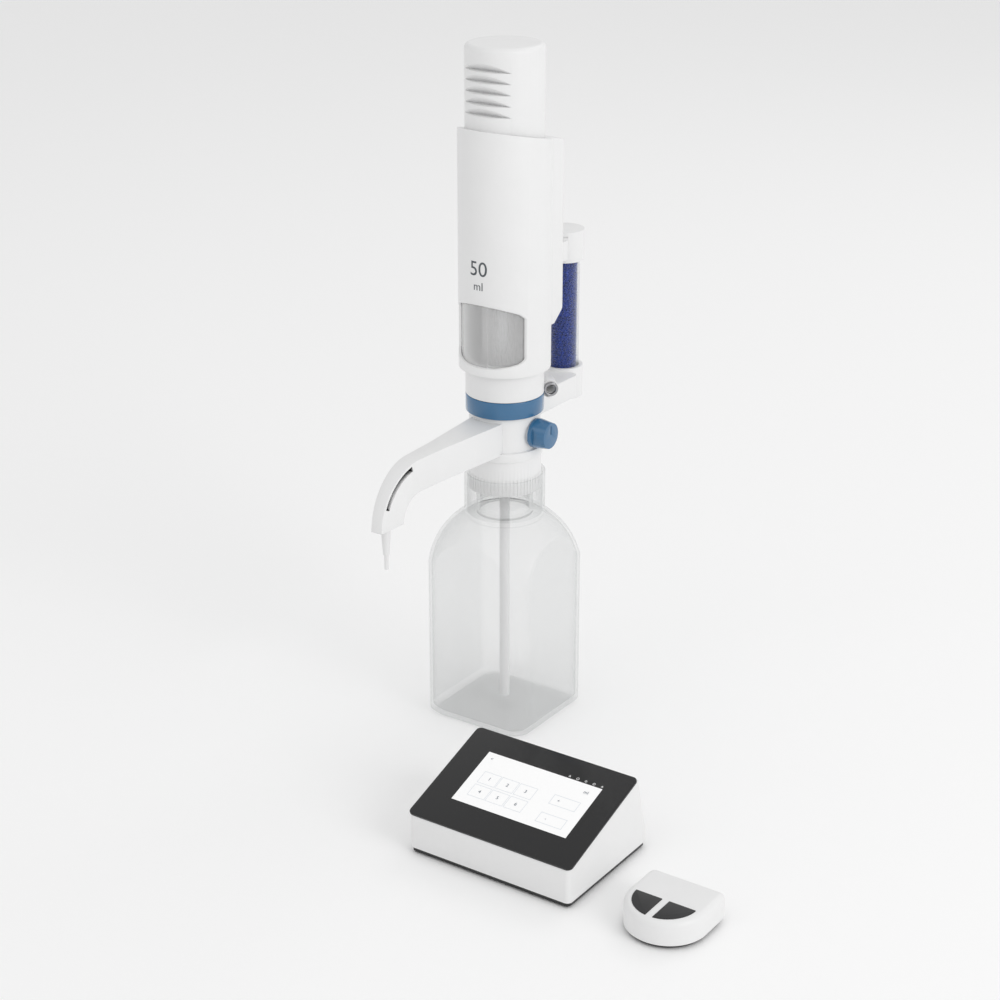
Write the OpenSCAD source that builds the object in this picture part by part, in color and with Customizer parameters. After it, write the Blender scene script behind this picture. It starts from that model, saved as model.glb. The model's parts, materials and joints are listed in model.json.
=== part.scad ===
// Electronic bottle top dispenser: a motor-driven dispenser head on a square bottle,
// with its touch-screen controller and its two-button hand remote. Millimetres, +Z up.
// The origin is on the bottle's axis, on the surface that all three stand on.
// -Y is the front, where the discharge arm points; the valve knob is on +X.

/* [Bottle] */
// Width of the square bottle across its flats
bottle_side = 95; // [88:1:102]
// Radius of the bottle's upright corners
bottle_corner_r = 16; // [12:1:20]
// Wall of the bottle
bottle_wall = 2.4; // [1.8:0.2:3.2]
// Radius of the ball that the bottle's shoulder follows
dome_r = 61.5; // [60:0.5:66]
// Depth of that ball's centre below the thread ring
dome_drop = 75; // [72:0.5:82]
// Outer radius of the bottle's threaded neck
neck_r = 22; // [20:0.5:23]
// Wall of the threaded neck
neck_wall = 2.6; // [2:0.2:3.4]
// Outer radius of the clear collar round the neck
collar_r = 31.5; // [31:0.1:33]
// Wall of that clear collar
collar_wall = 2; // [1.4:0.1:2.4]
// How far the clear collar reaches over the thread ring's lower edge
collar_over = 12; // [6:0.5:16]

/* [Thread ring] */
// Outer radius of the knurled thread ring
ring_r = 28.2; // [27:0.1:28.4]
// Height of the thread ring's lower edge
ring_z = 192; // [190:0.5:195]
// Length of the thread ring
ring_len = 28; // [26:0.5:30]
// Height of the grip ribs on the thread ring
rib_len = 13; // [9:0.5:16]
// Number of grip ribs
rib_count = 60; // [30:1:72]

/* [Valve block] */
// Radius of the valve block's body
block_r = 27.5; // [26:0.5:28]
// Length of the valve block, from its foot to its top face
block_len = 36; // [33:0.5:38]
// Radius of the valve block's foot
foot_r = 29.5; // [28.5:0.5:30.5]
// Height of the valve block's foot
foot_len = 7; // [5:0.5:9]
// Radius of the valve plug
plug_r = 6; // [5:0.5:7]
// Radius of the flow channels
channel_r = 2; // [1.5:0.1:2.4]
// Radius of the valve balls
ball_r = 3.2; // [2.8:0.1:3.4]

/* [Discharge arm] */
// Distance from the axis to the nozzle
arm_reach = 152; // [130:1:165]
// Radius of the tube's bend in the hook
arm_bend_r = 34; // [28:1:38]
// Half width of the arm at its root
arm_root_w = 14; // [12:0.5:16]
// Half width of the arm at its tip
arm_tip_w = 4.6; // [4:0.1:7]
// Thickness of the arm above the tube
arm_over = 11; // [8:0.5:12]
// Thickness of the arm below the tube
arm_under = 14; // [11:0.5:16]
// Radius of the discharge tube
tube_r = 1.6; // [1.2:0.1:1.9]

/* [Dispenser casing] */
// Outer radius of the main shell
shell_r = 35; // [34:0.5:37]
// Wall of the main shell
shell_wall = 2.2; // [1.6:0.2:2.8]
// Height that the lower collar shows below the main shell
collar_show = 21; // [18.5:0.5:23.5]
// Length of the main shell at its front
shell_len = 185; // [182:0.5:188]
// Slope of the main shell's top edge
shell_slope = 12; // [6:1:16]
// How far the spine reaches behind the axis
spine_reach = 49; // [46:0.5:51]
// Half width of the spine
spine_w = 23; // [18:0.5:25]
// Outer radius of the motor cover
cover_r = 29.5; // [28.8:0.1:30.5]
// Wall of the motor cover
cover_wall = 1.6; // [1.2:0.2:1.8]
// Height that the motor cover shows above the main shell
cover_len = 58.5; // [56:0.5:62]
// Number of cooling notches in the motor cover
notch_count = 5; // [1:1:6]
// Distance from one cooling notch to the next
notch_pitch = 8; // [7:0.25:8.5]

/* [Window] */
// Height of the window at the front
window_h = 49.5; // [44:0.5:56]
// Height of the window's bottom edge above the shell's lower edge
window_foot = 6; // [4:0.5:10]
// Half angle that the window wraps round the shell
window_angle = 62; // [50:1:66]

/* [Dosing cylinder] */
// Bore radius of the glass cylinder
bore_r = 15; // [13:0.5:15.5]
// Wall of the glass cylinder
glass_wall = 2.5; // [2:0.25:3]
// Length of the main shell that the plates and the coupling take up
drive_len = 45; // [44:0.5:50]
// Radius of the lead screw
screw_r = 4; // [3.5:0.25:4.5]
// Radius of the guide rods
rod_r = 3; // [2.5:0.25:3.5]
// Distance of each guide rod from the axis
rod_place = 22; // [20:0.5:24]

/* [Drying tube] */
// Outer radius of the drying tube
dry_r = 12.8; // [11:0.2:13.4]
// Distance of the drying tube behind the axis
dry_place = 81; // [78:0.5:84]
// Length of the drying tube that shows
dry_len = 86; // [70:1:90]
// Radius of the drying tube's cap and foot
dry_cap_r = 16; // [15:0.5:17]

/* [Controller] */
// Width of the controller
ctrl_w = 135; // [128:1:145]
// Depth of the controller's base
ctrl_d = 103; // [96:1:108]
// Height of the controller at its front
ctrl_front_h = 32.5; // [28:0.5:38]
// Height of the controller at its back
ctrl_back_h = 61.7; // [55:0.5:68]
// Level distance that the back face leans forward up to the glass
back_run = 15.4; // [11:0.1:20]
// Wall of the controller's casing
ctrl_wall = 2.4; // [1.8:0.2:3]
// Thickness of the touch glass
pane_t = 2; // [1.5:0.1:2.5]
// Width of the display
display_w = 96; // [86:1:104]
// Height of the display along the slope
display_h = 50; // [44:1:56]

/* [Remote] */
// Half width of the remote
remote_w = 29.5; // [27:0.5:33]
// Length of the remote's straight sides
remote_side_len = 25; // [20:1:34]
// Height of the remote
remote_h = 21; // [19:0.5:25]
// Radius of the pair of quarter-round buttons
button_r = 23; // [20:0.5:24]
// Travel of each remote button
button_travel = 1.2; // [0.6:0.1:1.6]

/* [Hidden] */

// Fineness of round forms, and of the facets in a blend
round_fn = 96;
blend_fn = 32;
// Overrun of every cut past the face that it opens
over = 1;
// Clear seat between two fixed pieces, and between two moving ones
seat = 0.1;
gap = 0.3;
// Radial running fit of a shaft, plug or piston in its bore
running = 0.05;

// Bottle and its neck
bottle_half = bottle_side / 2;
bottle_floor = 3;
base_round = 4;
cap_top = 3;
gasket_t = 1.4;
thread_pitch = 4;
thread_rise = 0.4;
thread_turns = 3;
dome_z = ring_z - dome_drop;
collar_top_z = ring_z + collar_over;
neck_root_z = dome_z + sqrt(pow(dome_r, 2) - pow(collar_r, 2));
neck_top_z = ring_z + ring_len - cap_top - gasket_t - seat;
filling_lift = 6;
filling_r = 4;

// Valve block, counted from its foot
plug_place = 13;
plug_reach = 10;
spigot_r = 16;
spigot_len = 6;
ball_travel = 2;
seat_t = 2.4;
boss_r = 9;
boss_len = 0.5;
block_z = ring_z + ring_len + gap;
block_top_z = block_z + block_len;
plug_z = block_z + foot_len + plug_place;
cage_r = ball_r + gap;
cage_len = 2 * ball_r + ball_travel;
inlet_seat_z = block_z + seat_t;
discharge_cage_y = plug_r + 2 * seat_t;
// How far a ball's centre stands off the seat that it rests in
ball_lift = sqrt(pow(ball_r, 2) - pow(channel_r, 2)) + gap / 2;

// Knob
knob_len = 14;
knob_r = 11.5;
knob_end_r = 10;
knob_cut = 4.2;
knob_slant = 16;
index_w = 1.2;
index_len = 7;
index_depth = 0.6;
spindle_r = 3.5;
spindle_socket = 8;
knob_x = block_r + boss_len + gap;

// Discharge arm
tip_lift = 0.8;
arm_waist = 1;
slot_in = 5.2;
slot_out = 9.2;
slot_low = 24;
slot_mid = 50;
slot_high = 77;
tube_seat = 4;
tube_bore = 0.8;
nozzle_drop = 31;
sleeve_len = 20;
sleeve_r = 3.6;
sleeve_wall = 0.8;
bend_y = -(arm_reach - arm_bend_r);
bend_z = plug_z - arm_bend_r;

// Locking ring, collar and glass cylinder
lock_skirt = 1.5;
lock_len = 13.4;
lock_r = 30;
lock_wall = 2.2;
lower_collar_r = 30;
lower_collar_wall = 4;
collar_spigot = 7;
collar_floor = 6;
sleeve_pane = 1.2;
glass_spare = 7;
piston_len = 9;
piston_gap = 1;
seal_len = 3;
seal_depth = 1.6;
rod_tube_r = 7;
screw_clear = 0.6;
lock_z = block_top_z - lock_skirt;
collar_z = lock_z + lock_len + gap;
shell_z = collar_z + collar_show;
window_bottom_z = shell_z + window_foot;
window_top_z = window_bottom_z + window_h;
glass_r = bore_r + glass_wall;
glass_z = block_top_z + gasket_t + seat;
stroke = (shell_len - drive_len) / 2;
glass_top_z = glass_z + stroke + piston_len + glass_spare;
piston_z = glass_z + piston_gap;
rod_tube_bore = screw_r + screw_clear;

// Frame inside the casing
plate_t = 5;
carriage_t = 12;
carriage_r = 30;
carriage_half = 21;
tie_x = 20;
tie_y = 18;
bearing_r = 8;
nut_r = 7.5;
bush_wall = 2.5;
coupling_gap = 2;
coupling_r = 9;
coupling_len = 18;
coupling_slit = 0.8;
motor_plate_t = 4;
motor_side = 38;
motor_len = 38;
motor_corner_r = 25;
motor_screw_len = 6;
motor_hole_place = 14;
shaft_r = 2.5;
screw_head_r = 2.6;
screw_head_t = 2;
screw_shank_r = 1.4;
board_t = 1.6;
board_w = 14;
board_y = 28;
bush_r = rod_r + bush_wall;
lower_plate_r = shell_r - shell_wall - gap;
plate_r = cover_r - cover_wall - 2 * gap;
lower_plate_z = glass_top_z + gap;
carriage_z = lower_plate_z + plate_t + 2 * piston_gap;
bearing_plate_z = carriage_z + carriage_t + stroke + 2 * piston_gap;
coupling_z = bearing_plate_z + plate_t + coupling_gap;
motor_plate_z = coupling_z + coupling_len + coupling_gap;
motor_z = motor_plate_z + motor_plate_t;

// Casing
cover_round = 4;
cover_foot = 20;
spine_under = 42;
spine_under_rise = 28;
spine_corner = 7;
window_top_slope = 24;
window_bottom_slope = 18;
window_round = 4;
notch_first = 11.5;
notch_h = 6;
notch_in = 8;
notch_wall = 1.4;
shell_top_z = shell_z + shell_len;
cover_top_z = shell_top_z + cover_len;
cover_z = shell_top_z - cover_foot;

// Drying tube
dry_wall = 1.2;
dry_seat = 5;
dry_foot_len = 25;
dry_cap_len = 24;
dry_cap_wall = 3;
bracket_w = 22;
bracket_drop = 2;
lug_t = 6;
bracket_round = 6;
cap_bridge_w = 11;
cap_bridge_h = 15;
filter_t = 3;
vent_bore = 3;
port_turn = 45;
port_place = 36.4;
port_aside = 4.5;
port_rise = 1.7;
port_rim = 1;
port_boss_len = 14;
port_r = 5.6;
port_bore = 3.6;
port_len = 3;
port_deep = 12;
slot_mark_w = 1;
slot_mark_len = 5;
slot_mark_drop = 4;
slot_mark_turn = 56;
dry_z = collar_z - gap;
port_z = dry_z - port_rise;

// Controller
ctrl_x = 71.5;
ctrl_y = -225;
ctrl_round = 4;
ctrl_foot_h = 1.2;
base_t = 3;
base_inset = 1;
glass_over = 0.8;
pane_round = 4;
display_v = 23;
display_t = 4;
display_shift = 2;
board_gap = 16;
board_margin = 12;
board_lift = 6;
boss_h = 14;
boss_column_r = 5;
foot_place = 12;
ctrl_foot_r = 5;
socket_r = 5;
socket_wall = 1.6;
socket_depth = 9;
socket_z = 22;
socket_pitch = 22;
power_button_r = 6;
power_proud = 3;
ctrl_screw_place = 22;
base_top_z = ctrl_foot_h + base_t;
glass_d = ctrl_d - back_run;
glass_rise = (ctrl_back_h - ctrl_front_h) / glass_d;
back_lean = back_run / (ctrl_back_h - base_top_z);
ctrl_slope = atan(glass_rise);
glass_slope_len = glass_d / cos(ctrl_slope);

// Remote
remote_x = 270.5;
remote_y = -203;
remote_foot_h = 1;
remote_base_t = 2;
remote_inset = 1.4;
remote_wall = 2;
remote_round = 5;
remote_step = 1;
button_bar = 2.6;
flange_t = 1;
flange_out = 1;
button_proud = 0.5;
button_back = 2.5;
remote_lift = 4;
remote_foot_r = 4;
switch_r = 2.5;
button_y = remote_y - button_back;
remote_board_z = remote_foot_h + remote_base_t + remote_lift;
flange_z = remote_h - remote_round - gap - flange_t;

// A solid turned from [radius, height] points about +Z
module turned(points) {
    rotate_extrude($fn = round_fn) polygon(points);
}

// A tube standing on its lower face
module tube(outer, inner, length) {
    difference() {
        cylinder(r = outer, h = length, $fn = round_fn);
        translate([0, 0, -over]) cylinder(r = inner, h = length + 2 * over, $fn = round_fn);
    }
}

// A rectangle from [0, 0] with rounded corners
module round_rect(width, depth, corner) {
    translate([corner, 0]) square([width - 2 * corner, depth]);
    translate([0, corner]) square([width, depth - 2 * corner]);
    for (x = [corner, width - corner], y = [corner, depth - corner])
        translate([x, y]) circle(r = corner, $fn = round_fn);
}

// A side view, drawn as [y, z], made as thick as given and centred on X = 0
module side_solid(width) {
    translate([-width / 2, 0, 0]) rotate([90, 0, 90]) linear_extrude(width) children();
}

// Everything above a plane that passes through [0, y, z] and rises towards the front
module above_slope(y, z, slope, reach) {
    translate([0, y, z]) rotate([-slope, 0, 0])
        translate([-reach, -reach, 0]) cube([2 * reach, 2 * reach, reach]);
}

// The square form of the bottle, larger or smaller by a wall
module bottle_form(inset, floor_z) {
    half = bottle_half - inset;
    corner = bottle_corner_r - inset;
    intersection() {
        union() {
            hull() {
                translate([-half + base_round, -half + base_round, floor_z])
                    linear_extrude(base_round / 2) round_rect(2 * (half - base_round),
                        2 * (half - base_round), corner - base_round / 2);
                translate([-half, -half, floor_z + base_round])
                    linear_extrude(base_round / 2) round_rect(2 * half, 2 * half, corner);
            }
            translate([-half, -half, floor_z + base_round])
                linear_extrude(dome_z + dome_r) round_rect(2 * half, 2 * half, corner);
        }
        union() {
            translate([0, 0, dome_z]) sphere(r = dome_r - inset, $fn = round_fn);
            translate([0, 0, floor_z]) cylinder(r = 2 * bottle_half, h = dome_z - floor_z, $fn = round_fn);
        }
    }
}

module bottle() {
    neck_bore = neck_r - neck_wall;
    color([0.86, 0.88, 0.89, 0.35]) difference() {
        union() {
            difference() {
                bottle_form(0, 0);
                bottle_form(bottle_wall, bottle_floor);
            }
            translate([0, 0, neck_root_z - bottle_wall]) tube(collar_r, collar_r - collar_wall,
                collar_top_z - neck_root_z + bottle_wall);
            translate([0, 0, neck_root_z]) cylinder(r = neck_r, h = neck_top_z - neck_root_z, $fn = round_fn);
            for (turn = [0 : thread_turns - 1]) translate([0, 0, neck_top_z - (turn + 1) * thread_pitch])
                cylinder(r = neck_r + thread_rise, h = thread_pitch / 2, $fn = round_fn);
        }
        translate([0, 0, neck_root_z - over])
            cylinder(r = neck_bore, h = neck_top_z - neck_root_z + 2 * over, $fn = round_fn);
    }
}

module neck_gasket() {
    color("white") translate([0, 0, neck_top_z + seat]) tube(neck_r, neck_r - neck_wall, gasket_t - seat);
}

module thread_ring() {
    inner = neck_r + thread_rise + gap;
    rib = PI * ring_r / rib_count / 2;
    color([0.95, 0.95, 0.95]) {
        difference() {
            translate([0, 0, ring_z]) cylinder(r = ring_r, h = ring_len, $fn = round_fn);
            translate([0, 0, ring_z - over])
                cylinder(r = inner, h = ring_len - cap_top + over, $fn = round_fn);
            translate([0, 0, ring_z]) cylinder(r = spigot_r + gap, h = ring_len + over, $fn = round_fn);
            for (i = [0 : rib_count - 1]) rotate([0, 0, 360 * i / rib_count])
                translate([ring_r - rib / 2, -rib / 2, ring_z - over]) cube([rib, rib, rib_len + over]);
        }
    }
}

// The side view of the arm between two distances from the tube's centre line
module arm_side(outside, inside) {
    translate([bend_y, plug_z - inside]) square([-bend_y, inside + outside]);
    intersection() {
        translate([bend_y, bend_z]) difference() {
            circle(r = arm_bend_r + outside, $fn = round_fn);
            circle(r = arm_bend_r - inside, $fn = round_fn);
        }
        translate([bend_y - 2 * arm_bend_r, bend_z + tip_lift]) square([2 * arm_bend_r, 2 * arm_bend_r]);
    }
}

// The plan of the arm, narrowing towards its tip
module arm_plan() {
    middle = (arm_root_w + arm_tip_w) / 2 - arm_waist;
    middle_y = bend_y * 3 / 4;
    end_y = -arm_reach - arm_over;
    root_y = -block_r - arm_waist;
    polygon([[-arm_root_w, 0], [-arm_root_w, root_y], [-middle, middle_y], [-arm_tip_w, end_y],
        [arm_tip_w, end_y], [middle, middle_y], [arm_root_w, root_y], [arm_root_w, 0]]);
}

module discharge_arm() {
    color([0.95, 0.95, 0.95]) difference() {
        intersection() {
            side_solid(2 * arm_root_w) arm_side(arm_over, arm_under);
            translate([0, 0, bend_z]) linear_extrude(2 * arm_bend_r) arm_plan();
        }
        translate([0, 0, block_z - over]) cylinder(r = block_r + seat, h = block_len + 2 * over, $fn = round_fn);
        translate([0, 0, block_z - over]) cylinder(r = foot_r + gap, h = foot_len + gap + over, $fn = round_fn);
        tube_route(tube_r + gap, over);
        translate([arm_tip_w, 0, 0]) side_solid(2 * arm_tip_w) arm_slot();
    }
}

// The curved slot that shows the tube in the hook's side
module arm_slot() {
    far = 2 * arm_bend_r;
    translate([bend_y, bend_z]) intersection() {
        difference() {
            circle(r = arm_bend_r + slot_out, $fn = round_fn);
            circle(r = arm_bend_r + slot_in, $fn = round_fn);
        }
        polygon([[0, 0], far * [-cos(slot_low), sin(slot_low)], far * [-cos(slot_mid), sin(slot_mid)],
            far * [-cos(slot_high), sin(slot_high)]]);
    }
}

// A round solid along the tube's route: level, round the bend and down to the nozzle
module tube_route(radius, extra) {
    start_y = -(block_r - tube_seat);
    translate([0, start_y, plug_z]) rotate([90, 0, 0])
        cylinder(r = radius, h = start_y - bend_y, $fn = blend_fn);
    translate([0, bend_y, bend_z]) rotate([90, 0, -90]) rotate_extrude(angle = 90, $fn = round_fn)
        translate([arm_bend_r, 0]) circle(r = radius, $fn = blend_fn);
    translate([0, -arm_reach, bend_z - nozzle_drop - extra])
        cylinder(r = radius, h = nozzle_drop + extra, $fn = blend_fn);
}

module discharge_tube() {
    color([0.8, 0.82, 0.84, 0.6]) tube_route(tube_r, 0);
}

module nozzle_tip() {
    top = bend_z + tip_lift - gap;
    color([0.85, 0.87, 0.9, 0.5]) translate([0, -arm_reach, top - sleeve_len]) difference() {
        cylinder(r1 = tube_r + sleeve_wall, r2 = sleeve_r, h = sleeve_len, $fn = round_fn);
        translate([0, 0, -over]) cylinder(r = tube_r + gap, h = sleeve_len + 2 * over, $fn = round_fn);
    }
}

module filling_tube() {
    foot = bottle_floor + filling_lift;
    color([0.85, 0.87, 0.9, 0.4]) translate([0, 0, foot])
        tube(filling_r, filling_r - tube_bore, block_z - spigot_len / 2 - foot);
}

module valve_block() {
    inlet_top = plug_z - plug_r;
    color([0.95, 0.95, 0.95]) difference() {
        union() {
            translate([0, 0, block_z]) cylinder(r = foot_r, h = foot_len, $fn = round_fn);
            translate([0, 0, block_z]) cylinder(r = block_r, h = block_len, $fn = round_fn);
            translate([0, 0, block_z - spigot_len]) cylinder(r = spigot_r, h = spigot_len + over, $fn = round_fn);
            translate([block_r - boss_r, 0, plug_z]) rotate([0, 90, 0])
                cylinder(r = boss_r, h = boss_r + boss_len, $fn = round_fn);
        }
        translate([0, 0, block_z - spigot_len - over])
            cylinder(r = filling_r + seat, h = spigot_len / 2 + gap + over, $fn = round_fn);
        translate([0, 0, block_z - spigot_len - over])
            cylinder(r = channel_r, h = spigot_len + block_len + 2 * over, $fn = round_fn);
        translate([0, 0, inlet_seat_z - seat_t]) cylinder(r = cage_r, h = seat_t + cage_len, $fn = round_fn);
        translate([-plug_reach, 0, plug_z]) rotate([0, 90, 0])
            cylinder(r = plug_r + running, h = plug_reach + block_r + boss_len + over, $fn = round_fn);
        translate([0, 0, plug_z]) rotate([90, 0, 0])
            cylinder(r = channel_r, h = block_r + over, $fn = round_fn);
        translate([0, -discharge_cage_y, plug_z]) rotate([90, 0, 0])
            cylinder(r = cage_r, h = seat_t + cage_len, $fn = round_fn);
    }
}

module valve_seat() {
    tube(cage_r - seat, channel_r, seat_t - seat);
}

module inlet_valve_seat() {
    color("white") translate([0, 0, inlet_seat_z - seat_t]) valve_seat();
}

module discharge_valve_seat() {
    color("white") translate([0, -discharge_cage_y - seat, plug_z]) rotate([90, 0, 0]) valve_seat();
}

module inlet_ball() {
    color("lightsteelblue") translate([0, 0, inlet_seat_z + ball_lift - seat])
        sphere(r = ball_r, $fn = round_fn);
}

module discharge_ball() {
    color("lightsteelblue") translate([0, -discharge_cage_y - seat_t - ball_lift, plug_z])
        sphere(r = ball_r, $fn = round_fn);
}

module valve_plug() {
    length = plug_reach + block_r + boss_len;
    color("white") difference() {
        union() {
            translate([-plug_reach + gap, 0, plug_z]) rotate([0, 90, 0])
                cylinder(r = plug_r, h = length - gap, $fn = round_fn);
            translate([knob_x - gap - over, 0, plug_z]) rotate([0, 90, 0])
                cylinder(r = spindle_r, h = spindle_socket + over, $fn = round_fn);
        }
        translate([0, 0, plug_z - 2 * plug_r]) cylinder(r = channel_r, h = 4 * plug_r, $fn = round_fn);
        translate([0, 0, plug_z]) rotate([90, 0, 0]) cylinder(r = channel_r, h = 2 * plug_r, $fn = round_fn);
    }
}

module recirculation_knob() {
    color([0.20, 0.42, 0.62]) difference() {
        translate([knob_x, 0, plug_z]) rotate([0, 90, 0])
            turned([[0, 0], [knob_r, 0], [knob_r, knob_len / 4], [knob_end_r, knob_len], [0, knob_len]]);
        translate([knob_x - over, 0, plug_z]) rotate([0, 90, 0])
            cylinder(r = spindle_r + seat, h = spindle_socket + over, $fn = round_fn);
        for (side = [-1, 1]) translate([knob_x + knob_len / 4, side * (knob_r - knob_cut / 2), plug_z])
            rotate([0, 0, side * knob_slant]) translate([0, side > 0 ? 0 : -knob_cut * 2, -knob_r])
                cube([2 * knob_len, knob_cut * 2, 2 * knob_r]);
        translate([knob_x + knob_len - index_depth, -index_w / 2, plug_z + over])
            cube([over + index_depth, index_w, index_len]);
    }
}

module locking_ring() {
    color([0.20, 0.42, 0.62]) translate([0, 0, lock_z]) difference() {
        cylinder(r = lock_r, h = lock_len, $fn = round_fn);
        translate([0, 0, -over]) cylinder(r = lock_r - lock_wall, h = lock_len + 2 * over, $fn = round_fn);
    }
}

module cylinder_gasket() {
    color("white") translate([0, 0, block_top_z]) tube(glass_r, bore_r - over, gasket_t);
}

module glass_cylinder() {
    color([0.75, 0.80, 0.82, 0.4]) translate([0, 0, glass_z]) tube(glass_r, bore_r, glass_top_z - glass_z);
}

// The collar holds the glass upright: a turned sleeve that is wider inside above its floor
module lower_collar() {
    top = shell_z + collar_spigot;
    color([0.95, 0.95, 0.95]) difference() {
        union() {
            translate([0, 0, block_top_z + gap])
                cylinder(r = lock_r - lock_wall - gap, h = collar_z - block_top_z, $fn = round_fn);
            translate([0, 0, collar_z]) cylinder(r = lower_collar_r, h = shell_z - collar_z + gap, $fn = round_fn);
            translate([0, 0, shell_z + gap])
                cylinder(r = lower_plate_r, h = collar_spigot - gap, $fn = round_fn);
        }
        translate([0, 0, block_top_z - over])
            cylinder(r = glass_r + seat, h = top - block_top_z + 2 * over, $fn = round_fn);
        translate([0, 0, collar_z + collar_floor])
            cylinder(r = lower_collar_r - lower_collar_wall, h = top - collar_z, $fn = round_fn);
    }
}

// The casing at a distance inside its outer face: round, with the spine behind it above a sloped underside
module casing_form(inset, foot_z) {
    half = spine_w - inset;
    length = shell_top_z - foot_z;
    low = shell_z + spine_under_rise + inset;
    high = shell_z + spine_under + inset;
    translate([0, 0, foot_z]) cylinder(r = shell_r - inset, h = length, $fn = round_fn);
    intersection() {
        translate([-half, 0, foot_z]) linear_extrude(length)
            round_rect(2 * half, spine_reach - inset, spine_corner - inset);
        side_solid(4 * spine_w) polygon([[-over, low], [shell_r - 2 * over, low], [spine_reach + over, high],
            [spine_reach + over, shell_top_z + over], [-over, shell_top_z + over]]);
    }
}

module window_sleeve() {
    foot = shell_z + collar_spigot + seat;
    color([0.85, 0.87, 0.88, 0.4]) translate([0, 0, foot])
        tube(lower_plate_r, lower_plate_r - sleeve_pane, lower_plate_z - seat - foot);
}

module main_shell() {
    color([0.95, 0.95, 0.95]) difference() {
        casing_form(0, shell_z);
        difference() {
            casing_form(shell_wall, shell_z - over);
            above_slope(-shell_r, shell_top_z - shell_wall, shell_slope, 2 * shell_len);
        }
        above_slope(-shell_r, shell_top_z, shell_slope, 2 * shell_len);
        translate([0, 0, shell_z + shell_len / 2]) cylinder(r = cover_r + gap, h = shell_len, $fn = round_fn);
        window_cut();
    }
}

// The window: sloped above and below, with round corners, cut through the front wall
module window_cut() {
    front = -shell_r;
    side = front * cos(window_angle);
    r = window_round;
    up = tan(window_top_slope);
    down = tan(window_bottom_slope);
    top_end = window_top_z - (side - front) * up;
    low_end = window_bottom_z + (side - front) * down;
    side_solid(2 * shell_r + 2 * over) {
        polygon([[front - over, window_top_z + over * up], [side - r, top_end + r * up], [side - r / 2, top_end],
            [side, top_end - r / 2], [side, low_end + r / 2], [side - r / 2, low_end], [side - r, low_end - r * down],
            [front - over, window_bottom_z - over * down]]);
    }
}

module motor_cover() {
    length = cover_top_z - cover_z;
    color([0.96, 0.96, 0.96]) difference() {
        translate([0, 0, cover_z]) union() {
            cylinder(r = cover_r, h = length - cover_round, $fn = round_fn);
            cylinder(r = cover_r - cover_round, h = length, $fn = round_fn);
            translate([0, 0, length - cover_round]) rotate_extrude($fn = round_fn)
                translate([cover_r - cover_round, 0]) intersection() {
                    circle(r = cover_round, $fn = round_fn);
                    square(cover_round);
                }
        }
        difference() {
            translate([0, 0, cover_z - over])
                cylinder(r = cover_r - cover_wall, h = length - cover_round + over, $fn = round_fn);
            notch_backing();
        }
        cover_notches();
    }
}

// The thick front of the cover, which the notches are cut into
module notch_backing() {
    low = notch_floor_z(notch_count - 1) - notch_wall;
    translate([-cover_r, -cover_r, low]) cube([2 * cover_r, notch_in + notch_wall, cover_top_z - low]);
}

function notch_floor_z(i) = cover_top_z - notch_first - notch_h - i * notch_pitch;

// Crescent notches: a level floor and a sloped roof, run across the front of the cover
module cover_notches() {
    for (i = [0 : notch_count - 1]) side_solid(2 * cover_r + 2 * over)
        polygon([[-cover_r - over, notch_floor_z(i)], [-cover_r + notch_in, notch_floor_z(i)],
            [-cover_r, notch_floor_z(i) + notch_h], [-cover_r - over, notch_floor_z(i) + notch_h]]);
}

// A round plate with holes for the screw and both guide rods
module frame_plate(radius, thickness, centre_r, rod_hole_r) {
    difference() {
        cylinder(r = radius, h = thickness, $fn = round_fn);
        translate([0, 0, -over]) cylinder(r = centre_r, h = thickness + 2 * over, $fn = round_fn);
        for (side = [-1, 1]) translate([side * rod_place, 0, -over])
            cylinder(r = rod_hole_r, h = thickness + 2 * over, $fn = round_fn);
    }
}

module lower_plate() {
    color("silver") translate([0, 0, lower_plate_z])
        frame_plate(lower_plate_r, plate_t, rod_tube_r + gap, rod_r + seat / 2);
}

module bearing_plate() {
    color("silver") translate([0, 0, bearing_plate_z])
        frame_plate(plate_r, plate_t, bearing_r + seat / 2, rod_r + seat / 2);
}

module motor_plate() {
    color("silver") translate([0, 0, motor_plate_z]) difference() {
        frame_plate(plate_r, motor_plate_t, shaft_r + 2 * gap, rod_r + seat / 2);
        for (x = [-1, 1], y = [-1, 1]) translate([x * motor_hole_place, y * motor_hole_place, -over])
            cylinder(r = screw_shank_r + seat, h = motor_plate_t + 2 * over, $fn = round_fn);
    }
}

module guide_rods() {
    foot = lower_plate_z;
    color("gainsboro") for (side = [-1, 1]) translate([side * rod_place, 0, foot])
        cylinder(r = rod_r, h = motor_plate_z + motor_plate_t - foot, $fn = round_fn);
}

module tie_rods() {
    foot = shell_z + collar_spigot + seat;
    color("gainsboro") for (side = [-1, 1]) translate([side * tie_x, tie_y, foot])
        cylinder(r = rod_r, h = lower_plate_z - seat - foot, $fn = round_fn);
}

module screw_bearing() {
    color("silver") translate([0, 0, bearing_plate_z]) tube(bearing_r, screw_r + running, plate_t);
}

module stepper_motor() {
    half = motor_side / 2;
    color([0.15, 0.15, 0.16]) difference() {
        translate([0, 0, motor_z + seat]) intersection() {
            translate([-half, -half, 0]) cube([motor_side, motor_side, motor_len]);
            cylinder(r = motor_corner_r, h = motor_len, $fn = round_fn);
        }
        translate([0, 0, motor_z - over]) cylinder(r = shaft_r + running, h = motor_len / 2 + over, $fn = round_fn);
        for (x = [-1, 1], y = [-1, 1]) translate([x * motor_hole_place, y * motor_hole_place, motor_z - over])
            cylinder(r = screw_shank_r + seat, h = motor_screw_len + over, $fn = round_fn);
    }
}

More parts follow.
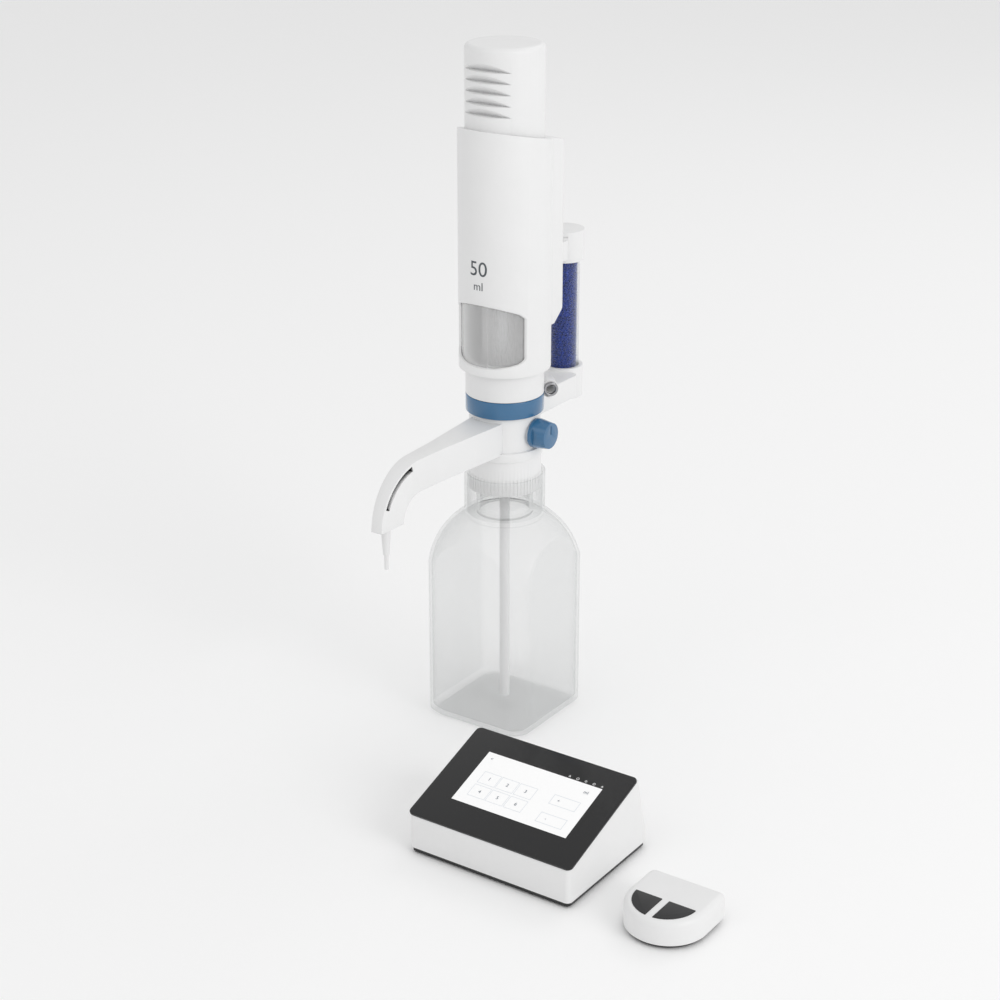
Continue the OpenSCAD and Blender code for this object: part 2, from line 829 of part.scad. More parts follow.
module motor_screws() {
    color("dimgray") for (x = [-1, 1], y = [-1, 1])
        translate([x * motor_hole_place, y * motor_hole_place, motor_plate_z - screw_head_t]) {
            cylinder(r = screw_head_r, h = screw_head_t, $fn = round_fn);
            cylinder(r = screw_shank_r, h = screw_head_t + motor_plate_t + motor_screw_len / 2, $fn = round_fn);
        }
}

module sensor_board() {
    length = carriage_t + stroke + 2 * piston_gap;
    color([0.10, 0.35, 0.20]) translate([-board_w / 2, board_y, lower_plate_z + plate_t + gap])
        cube([board_w, board_t, length]);
}

module motor_shaft() {
    foot = coupling_z + coupling_len / 2 + gap;
    color("gainsboro") translate([0, 0, foot])
        cylinder(r = shaft_r, h = motor_z + motor_len / 2 - gap - foot, $fn = round_fn);
}

module shaft_coupling() {
    half = coupling_len / 2;
    color("silver") translate([0, 0, coupling_z]) difference() {
        cylinder(r = coupling_r, h = coupling_len, $fn = round_fn);
        translate([0, 0, -over]) cylinder(r = screw_r + seat, h = half + over, $fn = round_fn);
        translate([0, 0, half]) cylinder(r = shaft_r + seat, h = half + over, $fn = round_fn);
        for (level = [1, 2]) translate([0, -coupling_r, half * level * 2 / 3])
            cube([coupling_r, 2 * coupling_r, coupling_slit]);
    }
}

module lead_screw() {
    foot = carriage_z;
    color("gainsboro") translate([0, 0, foot])
        cylinder(r = screw_r, h = coupling_z + coupling_len / 2 - foot, $fn = round_fn);
}

module carriage() {
    color([0.25, 0.26, 0.28]) translate([0, 0, carriage_z]) difference() {
        frame_plate(carriage_r, carriage_t, nut_r + seat, bush_r + seat);
        for (end = [0, 1]) rotate([0, 0, 180 * end]) translate([-carriage_r, carriage_half, -over])
            cube([2 * carriage_r, carriage_r, carriage_t + 2 * over]);
    }
}

module drive_nut() {
    color([0.72, 0.56, 0.25]) translate([0, 0, carriage_z]) difference() {
        cylinder(r = nut_r, h = carriage_t - gap, $fn = round_fn);
        translate([0, 0, -over]) cylinder(r = screw_r + running, h = carriage_t + over, $fn = round_fn);
    }
}

module guide_bushes() {
    color([0.72, 0.56, 0.25]) for (side = [-1, 1]) translate([side * rod_place, 0, carriage_z])
        tube(bush_r, rod_r + running, carriage_t);
}

module piston_rod() {
    foot = piston_z + piston_len;
    color("gainsboro") translate([0, 0, foot + seat]) difference() {
        cylinder(r = rod_tube_r, h = carriage_z - foot - 2 * seat, $fn = round_fn);
        translate([0, 0, carriage_t - piston_len]) cylinder(r = rod_tube_bore, h = carriage_z - foot, $fn = round_fn);
    }
}

module piston_head() {
    body = bore_r - gap;
    color([0.93, 0.93, 0.90]) translate([0, 0, piston_z]) difference() {
        cylinder(r = body, h = piston_len, $fn = round_fn);
        translate([0, 0, (piston_len - seal_len) / 2]) tube(bore_r + over, body - seal_depth, seal_len);
    }
}

module piston_seal() {
    color([0.85, 0.85, 0.82]) translate([0, 0, piston_z + (piston_len - seal_len) / 2 + seat])
        tube(bore_r - running, bore_r - gap - seal_depth + seat, seal_len - 2 * seat);
}

// The bracket behind the valve block carries the drying tube's foot and the vent port
module drying_bracket() {
    foot = lock_z - lug_t;
    color([0.95, 0.95, 0.95]) difference() {
        union() {
            translate([0, dry_place, dry_z - dry_foot_len])
                cylinder(r = dry_cap_r, h = dry_foot_len, $fn = round_fn);
            translate([-bracket_w, 0, foot]) linear_extrude(dry_z - bracket_drop - foot)
                round_rect(2 * bracket_w, dry_place - dry_cap_r + bracket_round, bracket_round);
            at_port() translate([0, 0, -port_boss_len])
                cylinder(r = port_r + port_rim, h = port_boss_len, $fn = round_fn);
        }
        translate([0, dry_place, dry_z - dry_seat]) cylinder(r = dry_r + seat, h = dry_seat + over, $fn = round_fn);
        translate([0, dry_place, dry_z - dry_foot_len - over])
            cylinder(r = vent_bore, h = dry_foot_len + over, $fn = round_fn);
        translate([0, 0, foot - over]) cylinder(r = block_r + seat, h = dry_foot_len, $fn = round_fn);
        translate([0, 0, lock_z - gap]) cylinder(r = lock_r + gap, h = dry_foot_len, $fn = round_fn);
        at_port() translate([0, 0, -port_deep]) cylinder(r = port_bore, h = 2 * port_deep, $fn = round_fn);
        at_port() cylinder(r = port_r + port_rim, h = port_deep, $fn = round_fn);
    }
}

module drying_tube() {
    color([0.85, 0.88, 0.90, 0.35]) translate([0, dry_place, dry_z - dry_seat + seat])
        tube(dry_r, dry_r - dry_wall, dry_len + 2 * dry_seat - 2 * seat);
}

module desiccant() {
    color([0.10, 0.14, 0.45]) translate([0, dry_place, dry_z + filter_t - dry_seat + 2 * seat])
        cylinder(r = dry_r - dry_wall - gap, h = dry_len + 2 * dry_seat - 2 * filter_t - 4 * seat, $fn = round_fn);
}

module drying_filters() {
    top = dry_z + dry_len + dry_seat - filter_t - seat;
    color([0.9, 0.9, 0.88]) for (z = [dry_z - dry_seat + seat, top])
        translate([0, dry_place, z]) cylinder(r = dry_r - dry_wall - seat, h = filter_t, $fn = round_fn);
}

module drying_cap() {
    foot = dry_z + dry_len;
    color([0.95, 0.95, 0.95]) difference() {
        union() {
            translate([0, dry_place, foot]) cylinder(r = dry_cap_r, h = dry_cap_len, $fn = round_fn);
            translate([-cap_bridge_w, spine_reach + gap / 2, foot + dry_cap_wall])
                cube([2 * cap_bridge_w, dry_place - spine_reach, cap_bridge_h]);
        }
        translate([0, dry_place, foot - over]) cylinder(r = dry_r + seat, h = dry_seat + over, $fn = round_fn);
        translate([0, dry_place, foot])
            cylinder(r = dry_r - dry_wall, h = dry_cap_len - dry_cap_wall, $fn = round_fn);
        translate([0, dry_place, foot + dry_cap_len - slot_mark_drop]) rotate([0, 0, -slot_mark_turn])
            translate([dry_cap_r - slot_mark_w, -slot_mark_len / 2, 0])
            cube([2 * slot_mark_w, slot_mark_len, slot_mark_w]);
    }
}

module vent_port() {
    color([0.75, 0.75, 0.77]) at_port() translate([0, 0, gap / 2]) tube(port_r, port_bore, port_len);
}

// The vent port's seat, facing outwards between the front and the knob's side, clear of the blue ring
module at_port() {
    translate([0, 0, port_z]) rotate([0, 0, port_turn]) translate([port_place, port_aside, 0])
        rotate([90, 0, 0]) children();
}

// The plan of the controller at a distance inside its base outline
module ctrl_plan(inset, depth) {
    translate([ctrl_x + inset, ctrl_y + inset])
        round_rect(ctrl_w - 2 * inset, depth - 2 * inset, ctrl_round - inset / 2);
}

// The side view of the controller above a height, a drop below the glass and a step in from the back
module ctrl_side(foot_z, drop, step) {
    top_y = glass_d + (drop * back_lean - step) / (1 + glass_rise * back_lean);
    foot_y = glass_d - step + (ctrl_back_h - foot_z) * back_lean;
    polygon([[ctrl_y, foot_z], [ctrl_y + foot_y, foot_z],
        [ctrl_y + top_y, ctrl_front_h - drop + glass_rise * top_y], [ctrl_y, ctrl_front_h - drop]]);
}

module ctrl_body(inset, foot_z, drop) {
    intersection() {
        linear_extrude(ctrl_back_h) ctrl_plan(inset, ctrl_d);
        translate([ctrl_x + ctrl_w / 2, 0, 0]) side_solid(ctrl_w) ctrl_side(foot_z, drop, inset);
    }
}

module controller_base() {
    color([0.12, 0.12, 0.13]) difference() {
        translate([0, 0, ctrl_foot_h]) linear_extrude(base_t) ctrl_plan(base_inset, ctrl_d);
        ctrl_screw_places() translate([0, 0, -over])
            cylinder(r = screw_shank_r + seat, h = base_top_z + 2 * over, $fn = round_fn);
        ctrl_screw_places() translate([0, 0, ctrl_foot_h - over])
            cylinder(r = screw_head_r + seat, h = screw_head_t + over, $fn = round_fn);
    }
}

module ctrl_screw_places() {
    for (x = [ctrl_screw_place, ctrl_w - ctrl_screw_place], y = [ctrl_screw_place, ctrl_d - ctrl_screw_place])
        translate([ctrl_x + x, ctrl_y + y, 0]) children();
}

module controller_casing() {
    drop = (pane_t + gap / 2) / cos(ctrl_slope);
    cut = pane_t + gap + ctrl_wall + display_t;
    color([0.95, 0.95, 0.95]) difference() {
        ctrl_body(0, base_top_z + gap / 2, drop);
        difference() {
            ctrl_body(ctrl_wall, base_top_z - over, drop + ctrl_wall);
            ctrl_screw_places() translate([0, 0, base_top_z])
                cylinder(r = boss_column_r, h = ctrl_back_h, $fn = round_fn);
        }
        ctrl_screw_places() translate([0, 0, base_top_z - over])
            cylinder(r = screw_shank_r, h = boss_h, $fn = round_fn);
        display_place(display_w + 2 * gap, display_h + 2 * gap, cut, -over);
        rear_holes() cylinder(r = socket_r + socket_wall + seat, h = 4 * ctrl_wall, center = true, $fn = round_fn);
        power_hole() cylinder(r = power_button_r + gap, h = 4 * ctrl_wall, center = true, $fn = round_fn);
    }
}

// A block let into the slope at the display's place, from one depth below the glass face to another
module display_place(width, height, deep, shallow) {
    translate([ctrl_x + (ctrl_w - width) / 2 + display_shift, ctrl_y, ctrl_front_h]) rotate([ctrl_slope, 0, 0])
        translate([0, display_v + (display_h - height) / 2, -deep]) cube([width, height, deep - shallow]);
}

// Places on the back face, square to it, for the round sockets and for the power button
module on_back(x, z) {
    face_y = ctrl_y + ctrl_d - (z - base_top_z) * back_lean;
    translate([ctrl_x + x, face_y, z]) rotate([-90 + atan(back_lean), 0, 0]) children();
}

module rear_holes() {
    for (i = [1 : 3]) on_back(i * socket_pitch, socket_z) children();
}

module power_hole() {
    on_back(ctrl_w - socket_pitch, socket_z) children();
}

module touch_glass() {
    over_w = ctrl_w + 2 * glass_over;
    over_d = glass_slope_len + glass_over;
    color([0.07, 0.07, 0.08]) translate([ctrl_x - glass_over, ctrl_y, ctrl_front_h]) rotate([ctrl_slope, 0, 0])
        translate([0, -glass_over, -pane_t]) linear_extrude(pane_t) round_rect(over_w, over_d, pane_round);
}

module display_module() {
    color([0.90, 0.92, 0.93]) display_place(display_w, display_h, pane_t + gap + display_t, pane_t + gap);
}

module main_board() {
    board_z = base_top_z + board_lift;
    color([0.10, 0.35, 0.20]) difference() {
        union() {
            translate([ctrl_x + board_margin, ctrl_y + board_gap, board_z])
                cube([ctrl_w - 2 * board_margin, ctrl_d - 2 * board_gap, board_t]);
            for (x = [2 * board_margin, ctrl_w - 2 * board_margin])
                translate([ctrl_x + x, ctrl_y + ctrl_d / 2, base_top_z + seat])
                cylinder(r = screw_head_r, h = board_lift, $fn = round_fn);
        }
        ctrl_screw_places() cylinder(r = boss_column_r + gap, h = ctrl_front_h, $fn = round_fn);
    }
}

module rear_sockets() {
    color([0.10, 0.10, 0.11]) rear_holes() difference() {
        union() {
            translate([0, 0, -socket_depth])
                cylinder(r = socket_r + socket_wall, h = socket_depth + gap, $fn = round_fn);
            translate([0, 0, seat]) cylinder(r = socket_r + 2 * socket_wall, h = socket_wall, $fn = round_fn);
        }
        translate([0, 0, -socket_depth + socket_wall])
            cylinder(r = socket_r, h = socket_depth + over, $fn = round_fn);
    }
}

module power_button() {
    inside = 2 * ctrl_wall + gap;
    color([0.10, 0.10, 0.11]) power_hole() {
        translate([0, 0, -inside]) cylinder(r = power_button_r, h = inside + power_proud, $fn = round_fn);
        translate([0, 0, -inside]) cylinder(r = power_button_r + ctrl_wall / 2, h = ctrl_wall, $fn = round_fn);
    }
}

module controller_feet() {
    color([0.08, 0.08, 0.08])
        for (x = [foot_place, ctrl_w - foot_place], y = [foot_place, ctrl_d - foot_place])
            translate([ctrl_x + x, ctrl_y + y, 0])
            cylinder(r = ctrl_foot_r, h = ctrl_foot_h - seat, $fn = round_fn);
}

module controller_screws() {
    color("dimgray") ctrl_screw_places() translate([0, 0, ctrl_foot_h + seat]) {
        cylinder(r = screw_head_r, h = screw_head_t - 2 * seat, $fn = round_fn);
        cylinder(r = screw_shank_r - seat, h = base_t + boss_h / 2, $fn = round_fn);
    }
}

// The plan of the remote at a distance inside its outline: a half round with straight sides
module remote_plan(inset) {
    r = remote_w - inset;
    translate([remote_x, remote_y]) {
        circle(r = r, $fn = round_fn);
        translate([-r, 0]) square([2 * r, remote_side_len / 2]);
        translate([-r, 0]) round_rect(2 * r, remote_side_len - inset, remote_round);
    }
}

module remote_base() {
    color([0.12, 0.12, 0.13]) translate([0, 0, remote_foot_h])
        linear_extrude(remote_base_t) remote_plan(remote_inset);
}

// A quarter round button's plan: side is -1 for the left and 1 for the right
module button_plan(side, grow) {
    translate([remote_x, button_y]) intersection() {
        circle(r = button_r + grow, $fn = round_fn);
        translate([side > 0 ? button_bar - grow : -button_r - grow, -button_r - grow])
            square([button_r - button_bar + 2 * grow, button_r + 2 * grow]);
    }
}

module remote_casing() {
    foot = remote_foot_h + remote_base_t + gap / 2;
    low = remote_h - remote_round;
    color([0.95, 0.95, 0.95]) difference() {
        union() {
            translate([0, 0, foot]) linear_extrude(low + remote_round - remote_step - foot) remote_plan(0);
            translate([0, 0, low]) linear_extrude(remote_round) remote_plan(remote_step);
        }
        translate([0, 0, foot - over]) linear_extrude(low - foot + over) remote_plan(remote_wall);
        for (side = [-1, 1]) translate([0, 0, remote_h / 2]) linear_extrude(remote_h) button_plan(side, gap);
    }
}

module remote_board() {
    post_z = remote_foot_h + remote_base_t + seat;
    color([0.10, 0.35, 0.20]) {
        translate([0, 0, remote_board_z]) linear_extrude(board_t) remote_plan(remote_wall + 2 * gap);
        for (side = [-1, 1]) {
            translate([remote_x + side * button_r / 2, button_y - button_r / 2, remote_board_z])
                cylinder(r = switch_r, h = flange_z - button_travel - gap - remote_board_z, $fn = round_fn);
            translate([remote_x + side * button_r / 2, remote_y + remote_side_len / 2, post_z])
                cylinder(r = switch_r, h = remote_board_z - post_z + seat, $fn = round_fn);
        }
    }
}

module remote_feet() {
    color([0.08, 0.08, 0.08]) for (side = [-1, 1], y = [-remote_w / 2, remote_side_len * 2 / 3])
        translate([remote_x + side * button_r / 2, remote_y + y, 0])
        cylinder(r = remote_foot_r, h = remote_foot_h - seat, $fn = round_fn);
}

module remote_button(side) {
    color([0.20, 0.21, 0.22]) translate([0, 0, flange_z]) {
        linear_extrude(remote_h + button_proud - flange_z) button_plan(side, 0);
        linear_extrude(flange_t) button_plan(side, flange_out);
    }
}

module left_button() {
    remote_button(-1);
}

module right_button() {
    remote_button(1);
}

bottle();
neck_gasket();
thread_ring();
valve_block();
discharge_arm();
discharge_tube();
nozzle_tip();
filling_tube();
inlet_valve_seat();
discharge_valve_seat();
inlet_ball();
discharge_ball();
valve_plug();
recirculation_knob();
locking_ring();
cylinder_gasket();
glass_cylinder();
lower_collar();
window_sleeve();
main_shell();
motor_cover();
lower_plate();
bearing_plate();
motor_plate();
guide_rods();
tie_rods();
screw_bearing();
stepper_motor();
motor_screws();
sensor_board();
motor_shaft();
shaft_coupling();
lead_screw();
carriage();
drive_nut();
guide_bushes();
piston_rod();
piston_head();
piston_seal();
drying_bracket();
drying_tube();
desiccant();
drying_filters();
drying_cap();
vent_port();
controller_base();
controller_casing();
touch_glass();
display_module();
main_board();
rear_sockets();
controller_feet();
controller_screws();
power_button();
remote_base();
remote_casing();
remote_board();
remote_feet();
left_button();
right_button();
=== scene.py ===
"""Visual model of the electronic bottle top dispenser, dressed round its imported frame.

Units are metres. The frame's origin is on the bottle's axis, on the floor; -Y is the front.
"""

import json
import random
from math import atan2, cos, degrees, hypot, pi, radians, sin

import bpy
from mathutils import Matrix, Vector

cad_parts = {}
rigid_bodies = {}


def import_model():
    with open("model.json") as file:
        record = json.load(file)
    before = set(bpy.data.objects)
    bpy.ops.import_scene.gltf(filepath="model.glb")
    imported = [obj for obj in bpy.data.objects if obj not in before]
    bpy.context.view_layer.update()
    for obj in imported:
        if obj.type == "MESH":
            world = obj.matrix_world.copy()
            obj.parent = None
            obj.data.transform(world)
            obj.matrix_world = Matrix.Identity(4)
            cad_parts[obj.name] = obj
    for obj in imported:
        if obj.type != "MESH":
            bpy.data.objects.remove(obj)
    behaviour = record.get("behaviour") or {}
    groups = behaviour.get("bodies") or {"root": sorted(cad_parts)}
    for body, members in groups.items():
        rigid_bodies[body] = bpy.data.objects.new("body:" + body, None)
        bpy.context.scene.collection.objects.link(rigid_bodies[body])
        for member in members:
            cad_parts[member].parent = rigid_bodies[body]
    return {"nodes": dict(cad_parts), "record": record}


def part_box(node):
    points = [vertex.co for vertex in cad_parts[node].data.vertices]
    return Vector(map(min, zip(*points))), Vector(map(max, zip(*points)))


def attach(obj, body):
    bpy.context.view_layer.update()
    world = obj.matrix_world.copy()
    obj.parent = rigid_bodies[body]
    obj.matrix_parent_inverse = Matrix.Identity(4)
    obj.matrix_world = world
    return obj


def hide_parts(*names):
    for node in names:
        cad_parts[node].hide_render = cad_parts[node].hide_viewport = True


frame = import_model()

bl_info = {
    "name": "Bottle Top Dispenser",
    "version": (1, 0, 0),
    "blender": (4, 5, 0),
    "location": "View3D > Sidebar > Dispenser",
    "description": "Dresses the packed frame of an electronic bottle top dispenser",
    "category": "Object",
}

MM = 0.001

# The body that each node rides on, and the finish that the record gives it
BODY_OF = {node: body for body, nodes in frame["record"]["behaviour"]["bodies"].items() for node in nodes}
SLOT_OF = {part["node"]: part["material_slot"] for part in frame["record"]["subparts"]}

# Nodes whose look differs from that of their slot's other nodes
LOOK_OF = {
    "filling_tube": "milky_tube",
    "discharge_tube": "milky_tube",
    "nozzle_tip": "milky_tube",
    "window_sleeve": "hazy_tube",
    "glass_cylinder": "hazy_glass",
}

# Points nearer than this are one point, and printed marks stand this far off what they lie on, in metres
SAME_POINT = 0.002 * MM
STAND_OFF = 0.05 * MM

# Moulded and turned pieces whose edges are softened: node, edge width in mm
SOFTENED = {
    "thread_ring": 0.25,
    "valve_block": 0.8,
    "discharge_arm": 1.6,
    "locking_ring": 0.6,
    "lower_collar": 0.5,
    "main_shell": 0.8,
    "motor_cover": 0.4,
    "recirculation_knob": 0.5,
    "drying_bracket": 1.0,
    "drying_cap": 1.2,
    "vent_port": 0.5,
    "controller_casing": 1.2,
    "controller_base": 0.6,
    "touch_glass": 0.5,
    "power_button": 0.5,
    "remote_base": 0.5,
    "left_button": 0.5,
    "right_button": 0.5,
}


# ---------------------------------------------------------------- settings

class DispenserSizes(bpy.types.PropertyGroup):
    """Sizes that the dressed pieces are made to"""

    edge_segments: bpy.props.IntProperty(
        name="Edge segments", description="Facets in a softened edge", default=3, min=1, max=6)
    casing_round: bpy.props.FloatProperty(
        name="Remote edge", description="Rounding of the remote's upper edge",
        default=4.6 * MM, min=1 * MM, max=5 * MM, unit="LENGTH")
    granule_r: bpy.props.FloatProperty(
        name="Granule radius", description="Radius of one drying granule",
        default=1.45 * MM, min=0.8 * MM, max=2 * MM, unit="LENGTH")
    number_h: bpy.props.FloatProperty(
        name="Number height", description="Height of the volume number on the casing",
        default=11.5 * MM, min=4 * MM, max=16 * MM, unit="LENGTH")
    unit_h: bpy.props.FloatProperty(
        name="Unit height", description="Height of the unit under the volume number",
        default=6.5 * MM, min=3 * MM, max=10 * MM, unit="LENGTH")
    print_t: bpy.props.FloatProperty(
        name="Print thickness", description="Thickness of printed marks",
        default=0.06 * MM, min=0.02 * MM, max=0.3 * MM, unit="LENGTH")


class DispenserColours(bpy.types.PropertyGroup):
    """Colours of the finishes, as display values"""

    white: bpy.props.FloatVectorProperty(
        name="White", description="Moulded casing", subtype="COLOR_GAMMA", size=3,
        min=0, max=1, default=(0.915, 0.915, 0.915))
    blue: bpy.props.FloatVectorProperty(
        name="Blue", description="Ring and knob", subtype="COLOR_GAMMA", size=3,
        min=0, max=1, default=(0.20, 0.41, 0.57))
    granule: bpy.props.FloatVectorProperty(
        name="Granules", description="Drying granules", subtype="COLOR_GAMMA", size=3,
        min=0, max=1, default=(0.05, 0.25, 0.67))
    panel: bpy.props.FloatVectorProperty(
        name="Touch panel", description="Dark glass of the controller", subtype="COLOR_GAMMA", size=3,
        min=0, max=1, default=(0.07, 0.07, 0.075))
    button: bpy.props.FloatVectorProperty(
        name="Buttons", description="Buttons of the remote", subtype="COLOR_GAMMA", size=3,
        min=0, max=1, default=(0.10, 0.10, 0.105))
    mark: bpy.props.FloatVectorProperty(
        name="Print", description="Printed number and unit", subtype="COLOR_GAMMA", size=3,
        min=0, max=1, default=(0.30, 0.32, 0.34))
    floor: bpy.props.FloatVectorProperty(
        name="Floor", description="Pale floor", subtype="COLOR_GAMMA", size=3,
        min=0, max=1, default=(0.985, 0.985, 0.985))


def sizes():
    return bpy.context.scene.dispenser_sizes


def colours():
    return bpy.context.scene.dispenser_colours


def linear(display):
    """A display colour as the linear colour that a shader takes."""
    return tuple(c / 12.92 if c <= 0.04045 else ((c + 0.055) / 1.055) ** 2.4 for c in display)


# ---------------------------------------------------------------- shader maths

class Value:
    """A node socket that takes part in Python arithmetic."""

    def __init__(self, graph, socket):
        self.graph = graph
        self.socket = socket

    def _math(self, operation, first, second):
        return self.graph.node("ShaderNodeMath", {"operation": operation}, {0: first, 1: second})[0]

    def __add__(self, other):
        return self._math("ADD", self, other)

    __radd__ = __add__

    def __mul__(self, other):
        return self._math("MULTIPLY", self, other)

    __rmul__ = __mul__

    def __sub__(self, other):
        return self._math("SUBTRACT", self, other)

    def __rsub__(self, other):
        return self._math("SUBTRACT", other, self)


class Graph:
    """A material's node tree with one Principled shader."""

    def __init__(self, name, settings):
        self.material = bpy.data.materials.new(name)
        self.material.use_nodes = True
        self.tree = self.material.node_tree
        self.shader = self.tree.nodes["Principled BSDF"]
        for key, value in settings.items():
            self.shader.inputs[key].default_value = value

    def node(self, kind, settings=(), links=()):
        made = self.tree.nodes.new(kind)
        for key, value in dict(settings).items():
            setattr(made, key, value)
        self.feed(made, dict(links))
        return [Value(self, socket) for socket in made.outputs]

    def feed(self, node, links):
        for key, value in links.items():
            socket = node.inputs[key]
            if isinstance(value, Value):
                self.tree.links.new(value.socket, socket)
            else:
                socket.default_value = value

    def place(self):
        return self.node("ShaderNodeTexCoord")[3]

    def noise(self, scale, detail=2.0):
        return self.node("ShaderNodeTexNoise", {},
                         {"Vector": self.place(), "Scale": scale, "Detail": detail})[0]

    def mix(self, factor, dark, light):
        made = self.tree.nodes.new("ShaderNodeMix")
        made.data_type = "RGBA"
        self.feed(made, {0: factor, 6: (*dark, 1), 7: (*light, 1)})
        return Value(self, made.outputs[2])

    def bump(self, height, strength, distance):
        made = self.node("ShaderNodeBump", {}, {"Height": height, "Strength": strength, "Distance": distance})
        self.feed(self.shader, {"Normal": made[0]})


def mixed(low, high, share):
    """The colour at a share of the way from one to another."""
    return tuple(a + (b - a) * share for a, b in zip(low, high))


# ---------------------------------------------------------------- finishes

def moulded(name, display, roughness, grain=0.15, coat=0.0):
    """A moulded plastic with a fine grain."""
    base = linear(display)
    graph = Graph(name, {"Roughness": roughness, "Coat Weight": coat, "Coat Roughness": 0.12})
    speckle = graph.noise(1400.0)
    graph.feed(graph.shader, {
        "Base Color": graph.mix(graph.noise(60.0), mixed(base, (0, 0, 0), 0.03), base),
        "Roughness": roughness + 0.06 * (speckle - 0.5)})
    graph.bump(speckle, grain, 0.02 * MM)
    return graph.material


def metal(name, display, roughness, brushed=(400.0, 400.0, 40.0)):
    """A worked metal with fine lines along its length."""
    graph = Graph(name, {"Metallic": 1.0, "Base Color": (*linear(display), 1), "Roughness": roughness})
    stretched = graph.node("ShaderNodeMapping", {}, {"Vector": graph.place(), "Scale": brushed})[0]
    lines = graph.node("ShaderNodeTexNoise", {}, {"Vector": stretched, "Scale": 4.0})[0]
    graph.feed(graph.shader, {"Roughness": roughness + 0.10 * (lines - 0.5)})
    return graph.material


def clear(name, display, face, rim):
    """A clear glass or polymer: nearly unseen where it faces the eye, and denser at its rim."""
    graph = Graph(name, {"Base Color": (*linear(display), 1), "Roughness": 0.04})
    turned = graph.node("ShaderNodeLayerWeight", {}, {"Blend": 0.5})[1]
    graph.feed(graph.shader, {"Alpha": face + (rim - face) * (turned * turned)})
    return graph.material


def granular(name):
    """Dark blue granules, each of a slightly different shade."""
    base = linear(colours().granule)
    graph = Graph(name, {"Roughness": 0.55})
    shade = graph.noise(330.0, 1.0)
    graph.feed(graph.shader, {"Base Color": graph.mix(shade, mixed(base, (0, 0, 0), 0.85), base)})
    return graph.material


def panel(name):
    """The dark touch panel: glossy, with a faint unevenness."""
    graph = Graph(name, {"Base Color": (*linear(colours().panel), 1), "Coat Weight": 0.05,
                         "Coat Roughness": 0.05})
    graph.feed(graph.shader, {"Roughness": 0.16 + 0.05 * graph.noise(30.0)})
    return graph.material


def painted_groove_shade(name):
    """Painted shade for the groove in the arm: near white below, darkening towards its upper end, where the
    groove lies in shade.
    """
    graph = Graph(name, {"Roughness": 0.6})
    height = graph.node("ShaderNodeSeparateXYZ", {}, {"Vector": graph.place()})[2]
    low, high = groove_height(GROOVE_DARK), groove_height(GROOVE_ENDS[1])
    share = graph.node("ShaderNodeMapRange", {}, {"Value": height, "From Min": low, "From Max": high})[0]
    # Painted shade: near white at the groove's lower part, mid grey at its upper end
    pale, dark = linear((0.97, 0.97, 0.97)), linear((0.55, 0.55, 0.55))
    graph.feed(graph.shader, {"Base Color": graph.mix(share, pale, dark)})
    return graph.material


def lit(name):
    """The lit display: white, and bright by itself."""
    graph = Graph(name, {"Base Color": (0.9, 0.9, 0.9, 1), "Roughness": 0.2, "Emission Strength": 0.12})
    graph.shader.inputs["Emission Color"].default_value = (1, 1, 1, 1)
    return graph.material


FINISHES = {
    "clear_glass": lambda name: clear(name, (0.80, 0.81, 0.81), 0.05, 0.45),
    "clear_tube": lambda name: clear(name, (0.88, 0.89, 0.90), 0.02, 0.55),
    "hazy_tube": lambda name: clear(name, (0.96, 0.96, 0.96), 0.27, 0.80),
    "hazy_glass": lambda name: clear(name, (0.97, 0.97, 0.97), 0.25, 0.80),
    "milky_tube": lambda name: moulded(name, (0.90, 0.90, 0.90), 0.35, 0.0),
    "white_case": lambda name: moulded(name, colours().white, 0.42),
    "white_polymer": lambda name: moulded(name, (0.90, 0.90, 0.88), 0.50),
    "blue_plastic": lambda name: moulded(name, colours().blue, 0.20, 0.02, 0.5),
    "blue_ceramic": lambda name: moulded(name, (0.62, 0.68, 0.78), 0.15, 0.0, 0.4),
    "blue_granules": granular,
    "grey_plastic": lambda name: moulded(name, colours().button, 0.45),
    "black_plastic": lambda name: moulded(name, (0.13, 0.13, 0.135), 0.45),
    "black_rubber": lambda name: moulded(name, (0.11, 0.11, 0.11), 0.75, 0.4),
    "black_metal": lambda name: moulded(name, (0.16, 0.16, 0.17), 0.38, 0.3),
    "dark_panel": panel,
    "green_board": lambda name: moulded(name, (0.10, 0.36, 0.20), 0.35, 0.1, 0.2),
    "aluminium": lambda name: metal(name, (0.80, 0.80, 0.81), 0.34),
    "steel": lambda name: metal(name, (0.74, 0.75, 0.76), 0.28),
    "chrome": lambda name: metal(name, (0.62, 0.62, 0.63), 0.12),
    "brass": lambda name: metal(name, (0.75, 0.62, 0.33), 0.30),
    "print": lambda name: moulded(name, colours().mark, 0.5, 0.0),
    "screen_marks": lambda name: moulded(name, (0.42, 0.46, 0.50), 0.4, 0.0),
    "screen_lines": lambda name: moulded(name, (0.88, 0.90, 0.92), 0.4, 0.0),
    "screen_light": lit,
    "groove": painted_groove_shade,
}


def finish(name):
    """The named finish, made on its first use under a name that the frame's own materials don't have."""
    own = "dressed_" + name
    return bpy.data.materials.get(own) or FINISHES[name](own)


def dress(obj, name):
    """Gives the whole of an object one finish."""
    if not obj.data.materials:
        obj.data.materials.append(None)
    for place in obj.material_slots:
        place.material = finish(name)


# ---------------------------------------------------------------- modelling helpers

def pick(obj):
    """Makes obj the only selected object, and the active one."""
    if bpy.context.object and bpy.context.object.mode != "OBJECT":
        bpy.ops.object.mode_set(mode="OBJECT")
    bpy.ops.object.select_all(action="DESELECT")
    obj.select_set(True)
    bpy.context.view_layer.objects.active = obj


def named(name):
    """The object that an operator has just added, renamed."""
    obj = bpy.context.object
    obj.name = name
    obj.data.name = name
    return obj


def added(operator, name, **settings):
    """A new object from an operator that adds one, with nothing else selected."""
    bpy.ops.object.select_all(action="DESELECT")
    operator(**settings)
    return named(name)


